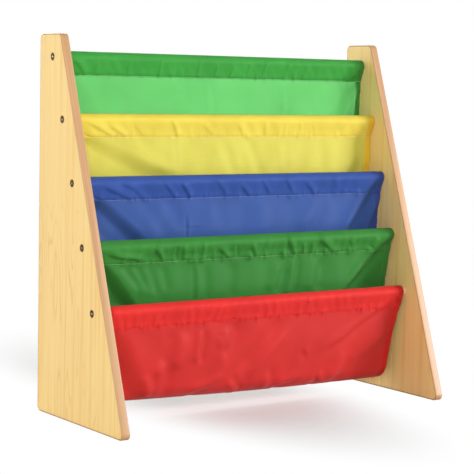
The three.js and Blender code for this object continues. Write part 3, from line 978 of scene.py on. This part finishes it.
def add_sleeve_waves(depth, draws, x, drop, sleeve_share):
    """Adds long low waves along the sleeve."""
    for _ in range(5):
        length, phase = draws.uniform(16, 46), draws.uniform(0, math.tau, 2)
        slant, patch = draws.uniform(-0.9, 0.1), draws.uniform(110, 260)
        wave = 0.5 + 0.5 * np.cos(math.tau * (x + slant * drop) / length + phase[0])
        depth += 0.5 * wave * (0.6 + 0.4 * np.cos(math.tau * x / patch + phase[1])) * sleeve_share


def add_seam_puckers(depth, draws, x, drop, seam, pucker):
    """Adds small puckers that run up the sleeve from the seam."""
    for _ in range(60):
        middle, lean, length = draws.uniform(-295, 295), draws.uniform(-3, 9), draws.uniform(8, 24)
        width, height = draws.uniform(1.8, 4.5), draws.uniform(0.2, 1) * pucker
        signed, share = line_measure([(middle, seam - length), (middle + lean, seam)], x, drop)
        depth += height * np.exp(-((signed / width) ** 2)) * smooth_step(share, 0.1, 0.9)


def add_wall_waves(depth, draws, x, drop, wave_share):
    """Adds the broad low waves of a wall that hangs nearly flat."""
    waves = np.zeros(x.shape)
    for _ in range(8):
        length, turn, phase = draws.uniform(38, 150), draws.uniform(-0.7, 0.7), draws.uniform(0, math.tau)
        waves += draws.uniform(0.15, 0.5) * np.cos(math.tau * (x + turn * drop) / length + phase)
    depth += waves * wave_share


def add_stitched_grooves(depth, x, drop, seam, half, wall_share):
    """Adds the grooves that the seam and the side hems' stitches pull into the cloth."""
    hem_line = half - 10.5
    seam_depth, seam_width, hem_depth, hem_width = 0.4, 1.6, 0.45, 1.3
    depth -= seam_depth * np.exp(-(((drop - seam) / seam_width) ** 2))
    depth -= hem_depth * np.exp(-(((np.abs(x) - hem_line) / hem_width) ** 2)) * wall_share


def add_hem_bumps(depth, draws, x, drop, half, last, wall_share):
    """Adds the small unevenness of the side hems."""
    for _ in range(80):
        place, side, width = draws.uniform(30, last), draws.choice([-1, 1]), draws.uniform(1.5, 3.5)
        bump = np.exp(-(((drop - place) / width) ** 2)) * smooth_step(x * side, half - 13, half - 7)
        depth += draws.uniform(-0.35, 0.35) * bump * wall_share


def fold_depths(index, x, drop, settings):
    """How far the cloth stands out from its plain shape, at x and a drop below the rod, all in millimetres."""
    seam, last = round(settings.seam_drop / MM, 2), FOLDS_END[CLOTHS[index]["ending"]]
    half = max(x.max(), -x.min())
    # Each kind of fold fades in and out of its part of the cloth between two drops
    not_ended = 1 - smooth_step(drop, last - 22, last)
    wall_share = smooth_step(drop, seam - 14, seam + 14) * not_ended
    lift_share = smooth_step(drop, seam - 4, seam + 54) * not_ended
    wave_share = smooth_step(drop, seam - 2, seam + 20) * not_ended
    sleeve_share = smooth_step(drop, -9, 0) * (1 - smooth_step(drop, seam - 4, seam))
    depth = LIFTS[index] * lift_share
    add_placed_folds(depth, index, x, drop, seam, wall_share, lift_share)
    depth += SLEEVE_SWELLS[index] * smooth_step(drop, -9, 4) * (1 - smooth_step(drop, 4, 19))
    draws = np.random.default_rng(40 + index)
    add_sleeve_waves(depth, draws, x, drop, sleeve_share)
    add_seam_puckers(depth, draws, x, drop, seam, PUCKERS[index])
    add_wall_waves(depth, draws, x, drop, wave_share)
    add_stitched_grooves(depth, x, drop, seam, half, wall_share)
    add_hem_bumps(depth, draws, x, drop, half, last, wall_share)
    return depth


def grid_columns(half, settings):
    """The columns of a cloth's grid: the x of each, how far it lies behind the face, and its x in the flat cut. Each
    side edge is turned back twice as a hem."""
    hem, hem_gap = settings.hem_width, settings.thickness + 0.1 * MM
    count = max(2, round(2 * half / COLUMN_PITCH))
    edge_columns = np.linspace(half - EDGE_STRIP, half, round(EDGE_STRIP / EDGE_PITCH) + 1)
    middle_columns = np.linspace(EDGE_STRIP - half, half - EDGE_STRIP, count + 1)[1:-1]
    inner = np.concatenate([-edge_columns[::-1], middle_columns, edge_columns])
    edge, turn, inside = 0.2 * MM, 0.2 * MM, 1.2 * MM
    turned = np.array([
        half + turn, half - edge, half - hem / 2, half - hem + edge,
        half - hem - turn, half - hem + edge, half - hem / 2, half - inside,
    ])
    turned_gap = hem_gap * np.array([0.5, 1, 1, 1, 1.5, 2, 2, 2])
    flat_turned = np.cumsum(np.hypot(np.diff(turned, prepend=half), np.diff(turned_gap, prepend=0)))
    x = np.concatenate([-turned[::-1], inner, turned])
    gap = np.concatenate([turned_gap[::-1], np.zeros(len(inner)), turned_gap])
    flat_x = np.concatenate([-half - flat_turned[::-1], inner, half + flat_turned])
    return x, gap, flat_x


def pushed_off_rod(rod, grid_y, grid_z, gap):
    """Moves the points that would lie in the rod out of it, the hem's turned layers less far than its face."""
    clearance = 0.22 * MM
    from_rod = np.hypot(grid_y - rod.y, grid_z - rod.z)
    push = np.maximum(1, (ROD_RADIUS + clearance + gap.max() - gap[None, :]) / from_rod)
    return rod.y + (grid_y - rod.y) * push, rod.z + (grid_z - rod.z) * push


def sagged(grid_x, grid_z, half, settings):
    """Lets what is near the lowest pocket's floor sag in its middle, and hang lower at the right than at the left."""
    reach, sag, tilt = 80 * MM, 3.5 * MM, 5 * MM
    floor_z = ROD_CENTRES[-1].z + SLEEVE_OUTER_RADIUS - settings.pocket_depth
    weight = np.clip((floor_z + reach - grid_z) / reach, 0, 1)
    across = grid_x / half
    return grid_z - weight * (sag * (1 - across**2) + tilt * across)


def cloth_grid(index, settings):
    """The places of all points of one cloth, rows along the section and columns across the width, with the flat
    cut's coordinates and the seam's row."""
    cloth, rod = CLOTHS[index], ROD_CENTRES[index]
    node_low, node_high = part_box(cloth["node"])
    half = min(node_high.x, -node_low.x)
    x, gap, flat_x = grid_columns(half, settings)
    line, seam_row = cloth_line(index, settings)
    way = np.concatenate([[0], np.cumsum(np.linalg.norm(np.diff(line, axis=0), axis=1))])
    along = np.vstack([line[1:], line[-1:]]) - np.vstack([line[:1], line[:-1]])
    along /= np.linalg.norm(along, axis=1)[:, None]
    outward = np.column_stack([along[:, 1], -along[:, 0]])
    grid_x, grid_y = np.meshgrid(x, line[:, 0])
    grid_z = np.meshgrid(x, line[:, 1])[1]
    depth = fold_depths(index, grid_x / MM, (rod.z - grid_z) / MM, settings)
    # No folds behind the sleeve or under the pocket, and none that dents the sleeve deeply
    deepest_dent = -3.0
    rows = np.arange(len(line))[:, None]
    top_row, lowest_row = int(np.argmax(line[:seam_row, 1])), int(np.argmin(line[:, 1]))
    depth = np.where((rows > top_row) & (rows < lowest_row), depth, 0.0)
    depth = np.where(rows > seam_row, depth, np.maximum(depth, deepest_dent))
    depth = depth * MM - gap[None, :]
    grid_y = grid_y + depth * outward[:, 0][:, None]
    grid_z = grid_z + depth * outward[:, 1][:, None]
    grid_y, grid_z = pushed_off_rod(rod, grid_y, grid_z, gap)
    grid_z = sagged(grid_x, grid_z, half, settings)
    if cloth["ending"] == "backwards":
        # The lowest pocket is drawn in at its sides, first by its seam and then by its own weight
        below = way[:, None] - way[seam_row]
        by_seam = 0.013 * smooth_step(below, 0, 20 * MM)
        by_weight = 0.032 * smooth_step(below, 10 * MM, 150 * MM)
        grid_x = grid_x * (1 - by_seam - by_weight)
    return np.stack([grid_x, grid_y, grid_z], -1), np.stack(np.meshgrid(flat_x, way), -1), seam_row


def cloth_shape(places, cut):
    """A grid moved to the cloth's places, with the flat cut as its UV map."""
    rows, columns = places.shape[:2]
    shape = bmesh.new()
    bmesh.ops.create_grid(shape, x_segments=columns - 1, y_segments=rows - 1, size=1.0)
    map_layer = shape.loops.layers.uv.new("cut")
    for vert in shape.verts:
        column = round((vert.co.x + 1) / 2 * (columns - 1))
        row = round((vert.co.y + 1) / 2 * (rows - 1))
        flat = cut[row, column]
        for loop in vert.link_loops:
            loop[map_layer].uv = flat
        vert.co = places[row, column]
    return shape


def stitch_shape(paths, settings):
    """A row of short thread loops along each path of (place, outward) pairs, each path with its thread's radius."""
    shape = bmesh.new()
    half_stitch, flattened, raised = settings.stitch_pitch * 0.42, 1.2, 0.1 * MM
    for path, thread_radius in paths:
        places = np.array([tuple(place) for place, _ in path])
        steps = np.linalg.norm(np.diff(places, axis=0), axis=1)
        way = np.concatenate([[0], np.cumsum(steps)])
        count = int(way[-1] / settings.stitch_pitch)
        for number in range(count):
            here = (number + 0.5) * way[-1] / count
            at = min(int(np.searchsorted(way, here)), len(path) - 1)
            before = max(at - 1, 0)
            share = (here - way[before]) / max(way[at] - way[before], 1e-9)
            place = Vector(places[before]).lerp(Vector(places[at]), share)
            along = (Vector(places[at]) - Vector(places[before])).normalized()
            outward = path[at][1]
            across = along.cross(outward).normalized()
            outward = across.cross(along).normalized()
            turn = Matrix((along, across, outward)).transposed().to_4x4()
            size = Matrix.Diagonal((half_stitch, thread_radius * flattened, thread_radius, 1))
            matrix = Matrix.Translation(place + outward * raised) @ turn @ size
            bmesh.ops.create_icosphere(shape, subdivisions=1, radius=1.0, matrix=matrix)
    return shape


def surface_path(places, outward, rows, columns, lift):
    """(place, outward) pairs along one row or one column of a cloth's grid, lifted off it."""
    return [
        (Vector(places[row, column]) + Vector(outward[row, column]) * lift, Vector(outward[row, column]))
        for row in rows for column in columns
    ]


def grid_outward(places):
    """The direction that each point of a cloth's grid faces, away from its rod."""
    across = np.gradient(places, axis=1)
    along = np.gradient(places, axis=0)
    faced = np.cross(along, across)
    return faced / np.maximum(np.linalg.norm(faced, axis=-1, keepdims=True), 1e-12)


def stitch_paths(places, seam_row, settings):
    """The paths of a cloth's seam and of its two side hems, each with its thread's radius."""
    outward = grid_outward(places)
    rows, columns = places.shape[:2]
    lift = settings.thickness / 2
    tucked_rows, hem_share, hem_thread_share = 4, 0.87, 0.5
    seam_columns = range(HEM_COLUMNS + 2, columns - HEM_COLUMNS - 2)
    paths = [(surface_path(places, outward, [seam_row], seam_columns, lift), settings.thread_radius)]
    from_edge = HEM_COLUMNS + round(settings.hem_width * hem_share / EDGE_PITCH)
    for column in (from_edge, columns - 1 - from_edge):
        hem_path = surface_path(places, outward, range(tucked_rows, rows - 1), [column], lift)
        paths.append((hem_path, settings.thread_radius * hem_thread_share))
    return paths


class BOOKSHELF_OT_boards(bpy.types.Operator):
    """Gives both side boards their printed pine face"""

    bl_idname = "bookshelf.boards"
    bl_label = "Boards"

    def execute(self, context):
        laminate = pine_print_laminate(context.scene.bookshelf_boards)
        for side_name, _ in SIDES:
            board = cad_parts[f"side_panel_{side_name}"]
            board.data.materials.clear()
            board.data.materials.append(laminate)
        return {"FINISHED"}


class BOOKSHELF_OT_edge_bands(bpy.types.Operator):
    """Adds the plastic band round each board's edge"""

    bl_idname = "bookshelf.edge_bands"
    bl_label = "Edge bands"

    def execute(self, context):
        settings = context.scene.bookshelf_boards
        finish = wood_tone_edge_band(settings)
        for side_name, side in SIDES:
            add_piece(
                f"band_{side_name}", edge_band(side, settings), finish,
                replaced=(f"edge_band_{side_name}",), smooth_degrees=40,
            )
        return {"FINISHED"}


class BOOKSHELF_OT_rods(bpy.types.Operator):
    """Adds the five turned rods"""

    bl_idname = "bookshelf.rods"
    bl_label = "Rods"

    def execute(self, context):
        settings = context.scene.bookshelf_hardware
        finish = turned_softwood(settings)
        half, chamfer = ROD_HIGH.x, settings.rod_chamfer
        bottom, softened = half - settings.bore_depth, chamfer * 0.3
        one_end = [
            (bottom, 0.0),
            (bottom, settings.bore_radius),
            (half, settings.bore_radius),
            (half, ROD_RADIUS - chamfer),
            (half - softened, ROD_RADIUS - softened),
            (half - chamfer, ROD_RADIUS),
        ]
        profile = one_end + [(-x, r) for x, r in reversed(one_end)]
        for number, centre in enumerate(ROD_CENTRES, 1):
            shape = turned_shape(profile, 40)
            bmesh.ops.translate(shape, verts=shape.verts, vec=centre)
            add_piece(
                f"dowel_{number}", shape, finish, replaced=(f"rod_{number}",), smooth_degrees=30
            )
        return {"FINISHED"}


class BOOKSHELF_OT_bolts(bpy.types.Operator):
    """Adds the ten cross-recessed bolts, and plates the inserts that they turn into"""

    bl_idname = "bookshelf.bolts"
    bl_label = "Bolts and inserts"

    def execute(self, context):
        settings = context.scene.bookshelf_hardware
        bronze = plated_steel("bronze_plated_steel", "6e5536", "3a2a18", 0.36)
        recess_highlight = plated_steel("steel_worn_by_the_driver", "f0e6d2", "b9a684", 0.3)
        yellow_zinc = plated_steel("yellow_zinc_plated_steel", "c9b27c", "a3854d", 0.38)
        # Every bolt is tightened to an angle of its own. Its recess is given a pale steel, a painted highlight for
        # the light that the recess catches
        turn_step = 0.37 * math.pi
        recess_radius, recess_top, recess_bottom = settings.recess_span * 0.56, 0.15 * MM, 2.4 * MM
        for side_name, side in SIDES:
            for number, centre in enumerate(ROD_CENTRES, 1):
                node = f"bolt_{side_name}_{number}"
                low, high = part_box(node)
                shape = bolt_shape(settings)
                turn = Matrix.Rotation(turn_step * (number + side), 4, "X")
                facing = Matrix.Rotation(math.pi if side > 0 else 0, 4, "Z")
                head_x = high.x if side > 0 else low.x
                place = Matrix.Translation((head_x, centre.y, centre.z))
                bmesh.ops.transform(shape, matrix=place @ facing @ turn, verts=shape.verts)
                bolt = add_piece(
                    f"machine_bolt_{side_name}_{number}", shape, bronze, replaced=(node,),
                    smooth_degrees=30,
                )
                bolt.data.materials.append(recess_highlight)
                for face in bolt.data.polygons:
                    inside = abs(face.center.x - head_x)
                    from_middle = math.hypot(face.center.y - centre.y, face.center.z - centre.z)
                    if from_middle < recess_radius and recess_top < inside < recess_bottom:
                        face.material_index = 1
                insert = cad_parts[f"insert_{side_name}_{number}"]
                insert.data.materials.clear()
                insert.data.materials.append(yellow_zinc)
        return {"FINISHED"}


class BOOKSHELF_OT_slings(bpy.types.Operator):
    """Hangs the five cloths from their rods, with hems, folds and seams"""

    bl_idname = "bookshelf.slings"
    bl_label = "Slings"

    def execute(self, context):
        settings = context.scene.bookshelf_cloth
        for index, cloth in enumerate(CLOTHS):
            name, node, slot = cloth["name"], cloth["node"], cloth["slot"]
            dye = list(getattr(settings, name))
            places, cut, seam_row = cloth_grid(index, settings)
            node_low, node_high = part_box(node)
            hem_start = min(node_high.x, -node_low.x) - settings.hem_width
            finish = woven_polyester(cloth, dye, hem_start, float(cut[seam_row, 0, 1]))
            piece = add_piece(
                f"cloth_{name}", cloth_shape(places, cut), finish, replaced=(node,), smooth_degrees=60
            )
            shell = piece.modifiers.new("thickness", "SOLIDIFY")
            shell.thickness, shell.offset = settings.thickness, 0.0
            stitches = add_piece(
                f"stitches_{name}", stitch_shape(stitch_paths(places, seam_row, settings), settings),
                spun_polyester_thread(name, dye, cloth["thread"]), replaced=(), smooth_degrees=80,
            )
        return {"FINISHED"}


class BOOKSHELF_OT_studio(bpy.types.Operator):
    """Adds the camera, the white floor, the lamps and the even light"""

    bl_idname = "bookshelf.studio"
    bl_label = "Studio"

    def execute(self, context):
        settings = context.scene.bookshelf_stage
        add_camera(context.scene)
        add_floor(settings)
        add_lamps(settings)
        add_world(context.scene, settings)
        context.scene.view_settings.view_transform = "Standard"
        return {"FINISHED"}


def add_camera(scene):
    """The camera at the place and angle that the picture was taken from."""
    ahead = Vector((
        -math.sin(CAMERA_YAW) * math.cos(CAMERA_PITCH),
        math.cos(CAMERA_YAW) * math.cos(CAMERA_PITCH),
        math.sin(CAMERA_PITCH),
    ))
    right = Vector((math.cos(CAMERA_YAW), math.sin(CAMERA_YAW), 0))
    up = right.cross(ahead)
    rolled_right = math.cos(CAMERA_ROLL) * right + math.sin(CAMERA_ROLL) * up
    rolled_up = -math.sin(CAMERA_ROLL) * right + math.cos(CAMERA_ROLL) * up
    lens = bpy.data.cameras.new("studio_camera")
    lens.sensor_width = SENSOR_WIDTH
    lens.lens = FOCAL_IN_PIXELS * SENSOR_WIDTH / PICTURE_SIDE
    camera = bpy.data.objects.new("studio_camera", lens)
    camera.matrix_world = Matrix.Translation(CAMERA_PLACE) @ Matrix(
        (rolled_right, rolled_up, -ahead)
    ).transposed().to_4x4()
    scene.collection.objects.link(camera)
    scene.camera = camera


def add_floor(settings):
    """A wide white floor."""
    shape = bmesh.new()
    bmesh.ops.create_grid(shape, x_segments=1, y_segments=1, size=settings.floor_side / 2)
    floor = object_of("floor", shape)
    floor.data.materials.append(studio_paper())


def add_lamps(settings):
    """Five soft boxes that face the shelf's middle: left, front, right, overhead and behind. Each has its place, its
    size and its power."""
    target = Vector((0, 0, 0.3))
    lamps = (
        ("left", (-3.0, 0.4, 0.55), (1.2, 1.2), settings.left_power),
        ("front", (-2.2, -2.2, 0.9), (1.1, 1.1), settings.front_power),
        ("right", (2.45, -2.15, 0.85), (1.2, 1.2), settings.right_power),
        ("top", (-0.9, -2.4, 1.2), (1.0, 1.0), settings.top_power),
        ("back", (0.3, 2.8, 1.6), (2.4, 2.0), settings.back_power),
    )
    for name, place, size, power in lamps:
        light = bpy.data.lights.new(name, "AREA")
        light.shape, light.size, light.size_y, light.energy = "RECTANGLE", *size, power
        lamp = bpy.data.objects.new(name, light)
        lamp.location = place
        lamp.rotation_euler = (target - Vector(place)).to_track_quat("-Z", "Y").to_euler()
        bpy.context.scene.collection.objects.link(lamp)


def add_world(scene, settings):
    """Even light from all round. To the camera, in gloss and through the cloth the studio's walls are white."""
    world = bpy.data.worlds.new("studio")
    world.use_nodes = True
    tree = world.node_tree
    tree.nodes.clear()
    path = add_node(tree, "ShaderNodeLightPath")
    seen = path.outputs["Is Camera Ray"]
    for kind in ("Is Glossy Ray", "Is Transmission Ray"):
        seen = add_node(
            tree, "ShaderNodeMath", links={0: seen, 1: path.outputs[kind]}, operation="MAXIMUM"
        ).outputs[0]
    strength = add_node(
        tree, "ShaderNodeMapRange", {"To Min": settings.ambient, "To Max": 1.0}, {"Value": seen}
    ).outputs["Result"]
    back = add_node(tree, "ShaderNodeBackground", {"Color": (1, 1, 1, 1)}, {"Strength": strength})
    add_node(tree, "ShaderNodeOutputWorld", links={"Surface": back.outputs[0]})
    scene.world = world


class BOOKSHELF_PT_sidebar(bpy.types.Panel):
    """Lists the shelf's settings and the operators that build it"""

    bl_idname = "BOOKSHELF_PT_sidebar"
    bl_label = "Sling bookshelf"
    bl_space_type = "VIEW_3D"
    bl_region_type = "UI"
    bl_category = "Bookshelf"

    def draw(self, context):
        for name in SETTINGS:
            group = getattr(context.scene, name)
            for setting in group.bl_rna.properties:
                if setting.identifier not in ("rna_type", "name"):
                    self.layout.prop(group, setting.identifier)
        for operator in OPERATORS:
            self.layout.operator(operator.bl_idname)


SETTINGS = {
    "bookshelf_boards": BoardSettings,
    "bookshelf_hardware": HardwareSettings,
    "bookshelf_cloth": ClothSettings,
    "bookshelf_stage": StageSettings,
}
OPERATORS = (
    BOOKSHELF_OT_studio,
    BOOKSHELF_OT_boards,
    BOOKSHELF_OT_edge_bands,
    BOOKSHELF_OT_rods,
    BOOKSHELF_OT_bolts,
    BOOKSHELF_OT_slings,
)


def register():
    """Registers the settings, the operators and the panel."""
    for group in SETTINGS.values():
        bpy.utils.register_class(group)
    for operator in OPERATORS:
        bpy.utils.register_class(operator)
    bpy.utils.register_class(BOOKSHELF_PT_sidebar)
    for name, group in SETTINGS.items():
        setattr(bpy.types.Scene, name, bpy.props.PointerProperty(type=group))


def unregister():
    """Takes them away again."""
    for name in SETTINGS:
        delattr(bpy.types.Scene, name)
    bpy.utils.unregister_class(BOOKSHELF_PT_sidebar)
    for kind in (*reversed(OPERATORS), *reversed(SETTINGS.values())):
        bpy.utils.unregister_class(kind)


def main():
    """Builds the whole scene."""
    register()
    bpy.ops.bookshelf.studio()
    bpy.ops.bookshelf.boards()
    bpy.ops.bookshelf.edge_bands()
    bpy.ops.bookshelf.rods()
    bpy.ops.bookshelf.bolts()
    bpy.ops.bookshelf.slings()


if __name__ == "__main__":
    main()
